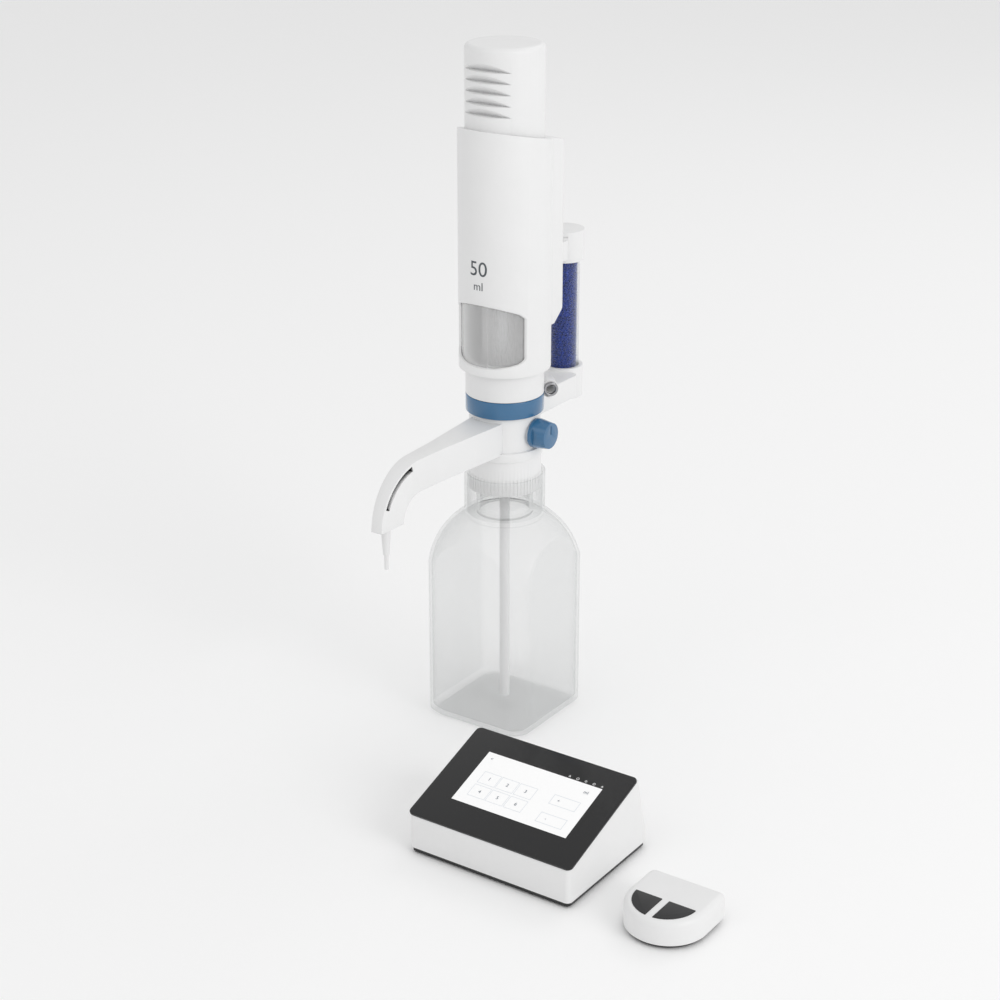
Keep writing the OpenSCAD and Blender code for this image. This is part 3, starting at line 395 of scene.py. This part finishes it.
def settle(obj):
    """Applies the place, turn and scale of obj."""
    pick(obj)
    bpy.ops.object.transform_apply(location=True, rotation=True, scale=True)


def modify(obj, kind, **settings):
    """Adds one modifier and applies it."""
    pick(obj)
    bpy.ops.object.modifier_add(type=kind)
    modifier = obj.modifiers[-1]
    for key, value in settings.items():
        setattr(modifier, key, value)
    bpy.ops.object.modifier_apply(modifier=modifier.name)


def smooth(obj, degrees=35):
    pick(obj)
    bpy.ops.object.shade_smooth_by_angle(angle=radians(degrees))


def edit(obj, mode="VERT"):
    pick(obj)
    bpy.ops.object.mode_set(mode="EDIT")
    bpy.ops.mesh.select_mode(type=mode)
    bpy.ops.mesh.select_all(action="SELECT")


def done():
    bpy.ops.object.mode_set(mode="OBJECT")


def choose_edges(obj, test):
    """Selects the edges whose two ends pass a test."""
    edit(obj, "EDGE")
    bpy.ops.mesh.select_all(action="DESELECT")
    done()
    for line in obj.data.edges:
        ends = [obj.data.vertices[i].co for i in line.vertices]
        line.select = test(*ends)
    bpy.ops.object.mode_set(mode="EDIT")


def hand_over(obj, body, slot, *nodes):
    """Rides obj on a body with its finish, in place of CAD nodes if any are named."""
    dress(obj, slot if slot in FINISHES else "white_case")
    if nodes:
        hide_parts(*nodes)
    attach(obj, body)


def softened(node, width):
    """A copy of a CAD node with its sharp edges rounded."""
    source = frame["nodes"][node]
    pick(source)
    bpy.ops.object.duplicate()
    obj = named(node + "_finished")
    obj.data.name = obj.name
    bpy.ops.object.parent_clear(type="CLEAR_KEEP_TRANSFORM")
    edit(obj)
    bpy.ops.mesh.remove_doubles(threshold=SAME_POINT)
    bpy.ops.mesh.dissolve_limited(angle_limit=radians(0.5))
    done()
    modify(obj, "BEVEL", width=width * MM, segments=sizes().edge_segments, limit_method="ANGLE",
           angle_limit=radians(38), use_clamp_overlap=True, miter_outer="MITER_ARC")
    smooth(obj)
    return obj


# ---------------------------------------------------------------- operators

class DISPENSER_OT_finish_nodes(bpy.types.Operator):
    """Gives every CAD node the finish that the record names"""

    bl_idname = "dispenser.finish_nodes"
    bl_label = "Finish the nodes"

    def execute(self, context):
        for node, obj in frame["nodes"].items():
            dress(obj, LOOK_OF.get(node, SLOT_OF[node]))
        return {"FINISHED"}


class DISPENSER_OT_mouldings(bpy.types.Operator):
    """Softens the edges of the moulded and turned pieces"""

    bl_idname = "dispenser.mouldings"
    bl_label = "Soften the mouldings"

    def execute(self, context):
        for node, width in SOFTENED.items():
            hand_over(softened(node, width), BODY_OF[node], SLOT_OF[node], node)
        return {"FINISHED"}


# Spacing of the granules in granule radii, round a row and from row to row, and the seed of the rows' turns
GRANULE_STEPS = (1.8, 1.6)
GRANULE_SEED = 7


class DISPENSER_OT_granules(bpy.types.Operator):
    """Fills the drying tube with granules"""

    bl_idname = "dispenser.granules"
    bl_label = "Drying granules"

    def execute(self, context):
        low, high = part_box("desiccant")
        r = sizes().granule_r
        centre = (low[0] + high[0]) / 2, (low[1] + high[1]) / 2
        ring_r = (high[0] - low[0]) / 2 - r
        around = int(2 * pi * ring_r / (GRANULE_STEPS[0] * r))
        rows = int((high[2] - low[2]) / (GRANULE_STEPS[1] * r))
        pitch = (high[2] - low[2] - 2 * r) / (rows - 1)
        draw = random.Random(GRANULE_SEED)
        core_z = (low[2] + high[2]) / 2
        core = added(bpy.ops.mesh.primitive_cylinder_add, "drying_granules", vertices=32, radius=ring_r,
                     depth=high[2] - low[2] - r, location=(*centre, core_z))
        settle(core)
        parts = [core]
        for row in range(rows):
            turn = draw.random()
            ring = added(bpy.ops.mesh.primitive_ico_sphere_add, "granule_row", subdivisions=1, radius=r,
                         location=(ring_r, 0, 0))
            settle(ring)
            edit(ring)
            done()
            modify(ring, "SUBSURF", levels=1, render_levels=1)
            bpy.ops.object.select_all(action="DESELECT")
            bpy.ops.object.empty_add(location=(0, 0, 0), rotation=(0, 0, 2 * pi / around))
            hub = bpy.context.object
            modify(ring, "ARRAY", count=around, use_relative_offset=False, use_object_offset=True,
                   offset_object=hub)
            pick(hub)
            bpy.ops.object.delete()
            pick(ring)
            ring.rotation_euler[2] = turn
            ring.location = (*centre, low[2] + r + row * pitch)
            settle(ring)
            parts.append(ring)
        bpy.ops.object.select_all(action="DESELECT")
        for part in parts:
            part.select_set(True)
        context.view_layer.objects.active = core
        bpy.ops.object.join()
        smooth(core, 60)
        hand_over(core, "head", "blue_granules", "desiccant")
        return {"FINISHED"}


# Steps in the rounding of the remote's upper edge
ROUND_STEPS = 7
# The casing's back corners: radius in mm and facets. Then what its round front falls short of a full half
# circle, in mm, and its facets; then the least length of an edge that is kept
BACK_CORNER = (5, 8)
FRONT_ROUND = (0.02, 24)
SHORT_EDGE = 0.1 * MM
# The wells of the buttons: gap round a button in metres, and their depth over the button's height
WELL_GAP = 0.1 * MM
WELL_DEPTH = 1.6


class DISPENSER_OT_remote_casing(bpy.types.Operator):
    """Models the remote's casing with its round front and its soft upper edge"""

    bl_idname = "dispenser.remote_casing"
    bl_label = "Remote casing"

    def execute(self, context):
        low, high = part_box("remote_casing")
        half = (high[0] - low[0]) / 2
        r = sizes().casing_round
        straight = (high[0], high[1], high[2] - r)
        obj = added(bpy.ops.mesh.primitive_cube_add, "remote_casing_finished", size=1,
                    location=[(a + b) / 2 for a, b in zip(low, straight)])
        obj.scale = [b - a for a, b in zip(low, straight)]
        settle(obj)
        front = low[1] + MM
        for at_front, radius, segments in ((False, BACK_CORNER[0] * MM, BACK_CORNER[1]),
                                           (True, half - FRONT_ROUND[0] * MM, FRONT_ROUND[1])):
            choose_edges(obj, lambda a, b: hypot(a[0] - b[0], a[1] - b[1]) < 1e-6
                         and (a[1] < front) == at_front)
            bpy.ops.mesh.bevel(offset=radius, segments=segments, affect="EDGES", clamp_overlap=True)
            done()
        edit(obj)
        bpy.ops.mesh.remove_doubles(threshold=SHORT_EDGE)
        done()
        edit(obj, "FACE")
        bpy.ops.mesh.select_all(action="DESELECT")
        done()
        for face in obj.data.polygons:
            face.select = face.normal[2] > 0.9
        bpy.ops.object.mode_set(mode="EDIT")
        turns = [pi / 2 * i / ROUND_STEPS for i in range(ROUND_STEPS + 1)]
        for a, b in zip(turns, turns[1:]):
            bpy.ops.mesh.inset(thickness=r * (cos(a) - cos(b)), depth=r * (sin(b) - sin(a)))
        done()
        for side in ("left_button", "right_button"):
            self.well(obj, side)
        smooth(obj)
        hand_over(obj, "remote", "white_case", "remote_casing")
        return {"FINISHED"}

    def well(self, casing, node):
        """Cuts the well that a button sits in: its outline grown by a small gap."""
        low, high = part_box(node)
        bpy.ops.object.select_all(action="DESELECT")
        source = frame["nodes"][node]
        pick(source)
        bpy.ops.object.duplicate()
        cutter = named(node + "_well")
        bpy.ops.object.parent_clear(type="CLEAR_KEEP_TRANSFORM")
        edit(cutter)
        bpy.ops.mesh.remove_doubles(threshold=SAME_POINT)
        bpy.ops.mesh.select_all(action="SELECT")
        middle = [(a + b) / 2 for a, b in zip(low, high)]
        grow = [1 + WELL_GAP / (b - a) for a, b in zip(low, high)]
        bpy.ops.transform.resize(value=(grow[0], grow[1], WELL_DEPTH), center_override=middle)
        done()
        modify(casing, "BOOLEAN", operation="DIFFERENCE", object=cutter, solver="EXACT")
        pick(cutter)
        bpy.ops.object.delete()


# The groove in the arm's side: its inner and outer radius about the tube's bend in mm, and the angles of
# its lower and upper end in degrees. Then the radius of the tube's bend and that of the tube, in mm
GROOVE = (39.2, 43.2)
GROOVE_ENDS = (24, 77)
# The angle from which the groove's painted shade darkens towards its upper end, in degrees
GROOVE_DARK = 62
BEND_R = 34
TUBE_R = 1.6


def bend_centre():
    """Y and Z of the centre of the discharge tube's bend."""
    low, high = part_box("discharge_tube")
    reach = (BEND_R + TUBE_R) * MM
    return low[1] + reach, high[2] - reach


def groove_height(angle):
    """Z of the groove's middle line at an angle."""
    return bend_centre()[1] + sum(GROOVE) / 2 * MM * sin(radians(angle))


class DISPENSER_OT_arm_groove(bpy.types.Operator):
    """Lays a thin sheet of painted shade over the walls and the bottom of the curved groove in the side of
    the arm
    """

    bl_idname = "dispenser.arm_groove"
    bl_label = "Arm groove"

    def execute(self, context):
        y, z = bend_centre()
        obj = softened("discharge_arm", SOFTENED["discharge_arm"])
        obj.name = obj.data.name = "arm_groove_painted_shade"
        edit(obj, "FACE")
        bpy.ops.mesh.select_all(action="DESELECT")
        done()
        for face in obj.data.polygons:
            across, up = y - face.center.y, face.center.z - z
            inside = GROOVE[0] - 0.1 <= hypot(across, up) / MM <= GROOVE[1] + 0.1
            between = GROOVE_ENDS[0] - 1 <= degrees(atan2(up, across)) <= GROOVE_ENDS[1] + 1
            wall_or_bottom = abs(face.normal.x) < 0.5 or face.center.x < MM
            face.select = not (inside and between and wall_or_bottom and face.center.x > -MM / 2)
        bpy.ops.object.mode_set(mode="EDIT")
        bpy.ops.mesh.delete(type="FACE")
        done()
        modify(obj, "DISPLACE", strength=STAND_OFF, mid_level=0)
        # The sheet carries the painted shade of the groove, not a real lining
        hand_over(obj, "head", "groove")
        return {"FINISHED"}


# Heights of the middle of the volume number and of its unit, and how far before the shell they are written
NUMBER_Z = 372 * MM
UNIT_Z = 359 * MM
WRITTEN_BEFORE = 5 * MM


class DISPENSER_OT_volume_mark(bpy.types.Operator):
    """Prints the volume number and its unit on the front of the casing"""

    bl_idname = "dispenser.volume_mark"
    bl_label = "Volume mark"

    def execute(self, context):
        for name, words, height, middle_z in (
                ("volume_number", "50", sizes().number_h, NUMBER_Z),
                ("volume_unit", "ml", sizes().unit_h, UNIT_Z)):
            obj = written(name, words, height)
            obj.rotation_euler[0] = pi / 2
            obj.location = (0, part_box("main_shell")[0][1] - WRITTEN_BEFORE, middle_z)
            settle(obj)
            modify(obj, "SHRINKWRAP", target=frame["nodes"]["main_shell"], wrap_method="PROJECT",
                   use_project_y=True, use_positive_direction=True, use_negative_direction=False,
                   use_project_x=False, use_project_z=False, offset=STAND_OFF, wrap_mode="ABOVE_SURFACE")
            modify(obj, "SOLIDIFY", thickness=sizes().print_t, offset=0)
            hand_over(obj, "head", "print")
        return {"FINISHED"}


# Height of a digit over the size that a text is set in
DIGIT_SHARE = 0.73


def written(name, words, height):
    """Flat lettering as a finely cut mesh, centred on the origin in the XY plane."""
    bpy.ops.object.select_all(action="DESELECT")
    bpy.ops.object.text_add(location=(0, 0, 0))
    obj = bpy.context.object
    obj.name = name
    obj.data.body = words
    obj.data.size = height / DIGIT_SHARE
    obj.data.align_x = "CENTER"
    obj.data.align_y = "CENTER"
    obj.data.resolution_u = 6
    bpy.ops.object.convert(target="MESH")
    obj = named(name)
    edit(obj)
    reach = int(obj.dimensions[0] / MM / 2) + 1
    for step in range(-reach, reach + 1):
        bpy.ops.mesh.select_all(action="SELECT")
        bpy.ops.mesh.bisect(plane_co=(step * MM, 0, 0), plane_no=(1, 0, 0))
    done()
    return obj


# The touch panel's upper face, in mm: height of its front edge, and its rise over its level depth
PANEL_FRONT_Z = 32.5
PANEL_RISE = 29.2
PANEL_RUN = 87.6
# The lit display on it, in mm: from the panel's left and front edges, then its width and height
DISPLAY = (21.5, 23.0, 96.0, 50.0)
# Digits of the keypad and the unit: words, centre across and up the display, height, all in mm
DISPLAY_WORDS = (
    ("1", 15.5, 26.5, 3.0), ("2", 30.8, 26.5, 3.0), ("3", 46.3, 26.5, 3.0),
    ("4", 15.5, 13.3, 3.0), ("5", 30.8, 13.3, 3.0), ("6", 46.3, 13.3, 3.0),
    ("<", 5.8, 44.3, 2.6), ("ml", 87.0, 42.6, 3.0), ("+", 73.0, 28.0, 2.6), ("-", 73.5, 10.0, 2.6),
)
# Outlined fields at the display's right: left, foot, width and height in mm
DISPLAY_FIELDS = ((67.3, 23.3, 21.5, 9.4), (67.3, 5.3, 21.5, 9.4))
# Size of the outlined key round each of the six digits, then the line of a key and of a field, in mm
KEY_SIZE = (14.6, 11.4)
KEY_COUNT = 6
KEY_LINE = 0.35
FIELD_LINE = 0.4
# Signs above the display: sides of each one, then the first one's place, their pitch and radius in mm,
# and their line over their radius
SIGN_SIDES = (3, 20, 4, 6, 3)
SIGN_ROW = (89.3, 75.0, 6.7, 1.15)
SIGN_LINE = 0.3


class DISPENSER_OT_display(bpy.types.Operator):
    """Lights the display under the touch panel and draws its plain keypad, fields and signs"""

    bl_idname = "dispenser.display"
    bl_label = "Display"

    def execute(self, context):
        left, foot, width, height = DISPLAY
        self.lay([rectangle("lit_display", left, foot, width, height)], "display_light", 1, "screen_light")
        lines = [outline(left + x - KEY_SIZE[0] / 2, foot + y - KEY_SIZE[1] / 2, *KEY_SIZE, KEY_LINE)
                 for _, x, y, _ in DISPLAY_WORDS[:KEY_COUNT]]
        lines += [outline(left + x, foot + y, w, h, FIELD_LINE) for x, y, w, h in DISPLAY_FIELDS]
        self.lay(lines, "display_lines", 2, "screen_lines")
        words = []
        for text, x, y, size in DISPLAY_WORDS:
            words.append(written("display_word", text, size * MM))
            words[-1].location = ((left + x) * MM, (foot + y) * MM, 0)
            settle(words[-1])
        self.lay(words, "display_words", 3, "screen_marks")
        x, y, pitch, r = SIGN_ROW
        self.lay([ring_sign(x + i * pitch, y, r, sides) for i, sides in enumerate(SIGN_SIDES)],
                 "panel_signs", 1, "white_case")
        return {"FINISHED"}

    def lay(self, parts, name, layer, finish_name):
        """Joins flat parts and lays them on the panel's slope, one thin layer above another."""
        bpy.ops.object.select_all(action="DESELECT")
        for part in parts:
            part.select_set(True)
        bpy.context.view_layer.objects.active = parts[0]
        if len(parts) > 1:
            bpy.ops.object.join()
        obj = named(name)
        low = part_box("controller_casing")[0]
        slope = atan2(PANEL_RISE, PANEL_RUN)
        obj.rotation_euler[0] = slope
        lift = layer * sizes().print_t
        obj.location = (low[0], low[1] - lift * sin(slope), PANEL_FRONT_Z * MM + lift * cos(slope))
        settle(obj)
        modify(obj, "SOLIDIFY", thickness=sizes().print_t, offset=0)
        hand_over(obj, "controller", finish_name)


def rectangle(name, left, foot, width, height):
    """A flat rectangle, placed in mm from the panel's corner."""
    obj = added(bpy.ops.mesh.primitive_plane_add, name, size=1,
                location=((left + width / 2) * MM, (foot + height / 2) * MM, 0))
    obj.scale = (width * MM, height * MM, 1)
    settle(obj)
    return obj


def outline(left, foot, width, height, line):
    """A rectangle's outline: its middle is inset by the line's width and removed."""
    obj = rectangle("field", left, foot, width, height)
    edit(obj, "FACE")
    bpy.ops.mesh.inset(thickness=line * MM, depth=0)
    bpy.ops.mesh.delete(type="FACE")
    done()
    return obj


def ring_sign(x, y, radius, sides):
    """A small regular outline, from a triangle to a ring."""
    obj = added(bpy.ops.mesh.primitive_circle_add, "sign", vertices=sides, radius=radius * MM,
                fill_type="NGON", location=(x * MM, y * MM, 0))
    settle(obj)
    edit(obj, "FACE")
    bpy.ops.mesh.inset(thickness=SIGN_LINE * radius * MM, depth=0)
    bpy.ops.mesh.delete(type="FACE")
    done()
    return obj


# The floor: its width, and how far it lies under the part
FLOOR_W = 12
FLOOR_GAP = 0.2 * MM
# Strength of the white surroundings, and the point that the lamps look at
WORLD_STRENGTH = 0.78
LAMP_AIM = (0.05, -0.08, 0.22)
# Round area lamps: name, place, width and power in watts
LAMPS = (
    ("key_light", (-0.4, -1.9, 2.2), 1.5, 2.5),
    ("fill_light", (3.3, -0.6, 1.9), 2.2, 34.0),
    ("back_light", (0.2, 1.9, 2.1), 1.4, 5.0),
)
# The photo's camera: turn from the front and height over level in degrees, the point that it looks at, its
# distance from there, its lens and sensor width in mm, and the nearest depth that it shows
CAMERA_AZIMUTH = 34.40
CAMERA_ELEVATION = 22.11
CAMERA_AIM = (-3.0 * MM, -2.1 * MM, 178.35 * MM)
CAMERA_DISTANCE = 1671.31 * MM
CAMERA_LENS = 77.24
SENSOR_W = 36
CLIP_START = 0.05


class DISPENSER_OT_stage(bpy.types.Operator):
    """Adds the pale floor, the soft studio light and the camera"""

    bl_idname = "dispenser.stage"
    bl_label = "Stage"

    def execute(self, context):
        floor = added(bpy.ops.mesh.primitive_plane_add, "floor", size=FLOOR_W, location=(0, 0, -FLOOR_GAP))
        settle(floor)
        floor.data.materials.append(Graph("floor", {
            "Base Color": (*linear(colours().floor), 1), "Roughness": 0.6}).material)

        world = bpy.data.worlds.new("studio")
        context.scene.world = world
        world.use_nodes = True
        world.node_tree.nodes["Background"].inputs[0].default_value = (1, 1, 1, 1)
        world.node_tree.nodes["Background"].inputs[1].default_value = WORLD_STRENGTH

        for name, place, size, watts in LAMPS:
            away = [p - a for p, a in zip(place, LAMP_AIM)]
            turn = (atan2(hypot(away[0], away[1]), away[2]), 0, atan2(away[0], -away[1]))
            bpy.ops.object.light_add(type="AREA", location=place, rotation=turn)
            lamp = bpy.context.object
            lamp.name = name
            lamp.data.shape = "DISK"
            lamp.data.size = size
            lamp.data.energy = watts

        azimuth = radians(CAMERA_AZIMUTH)
        elevation = radians(CAMERA_ELEVATION)
        level = CAMERA_DISTANCE * cos(elevation)
        place = (CAMERA_AIM[0] + level * sin(azimuth), CAMERA_AIM[1] - level * cos(azimuth),
                 CAMERA_AIM[2] + CAMERA_DISTANCE * sin(elevation))
        bpy.ops.object.camera_add(location=place, rotation=(pi / 2 - elevation, 0, azimuth))
        camera = bpy.context.object
        camera.name = "photo_camera"
        camera.data.sensor_width = SENSOR_W
        camera.data.lens = CAMERA_LENS
        camera.data.clip_start = CLIP_START
        context.scene.camera = camera
        context.scene.view_settings.view_transform = "Standard"
        return {"FINISHED"}


OPERATORS = (
    DISPENSER_OT_finish_nodes,
    DISPENSER_OT_arm_groove,
    DISPENSER_OT_remote_casing,
    DISPENSER_OT_mouldings,
    DISPENSER_OT_granules,
    DISPENSER_OT_volume_mark,
    DISPENSER_OT_display,
    DISPENSER_OT_stage,
)


class DISPENSER_PT_panel(bpy.types.Panel):
    """Lists the dispenser's settings and pieces"""

    bl_idname = "DISPENSER_PT_panel"
    bl_label = "Bottle top dispenser"
    bl_space_type = "VIEW_3D"
    bl_region_type = "UI"
    bl_category = "Dispenser"

    def draw(self, context):
        for group in (context.scene.dispenser_sizes, context.scene.dispenser_colours):
            for name in group.__annotations__:
                self.layout.prop(group, name)
        for operator in OPERATORS:
            self.layout.operator(operator.bl_idname)


CLASSES = (DispenserSizes, DispenserColours, *OPERATORS, DISPENSER_PT_panel)


def register():
    for cls in CLASSES:
        bpy.utils.register_class(cls)
    bpy.types.Scene.dispenser_sizes = bpy.props.PointerProperty(type=DispenserSizes)
    bpy.types.Scene.dispenser_colours = bpy.props.PointerProperty(type=DispenserColours)


def unregister():
    del bpy.types.Scene.dispenser_sizes
    del bpy.types.Scene.dispenser_colours
    for cls in reversed(CLASSES):
        bpy.utils.unregister_class(cls)


def main():
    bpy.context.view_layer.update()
    register()
    for operator in OPERATORS:
        getattr(bpy.ops.dispenser, operator.bl_idname.split(".")[1])()


if __name__ == "__main__":
    main()
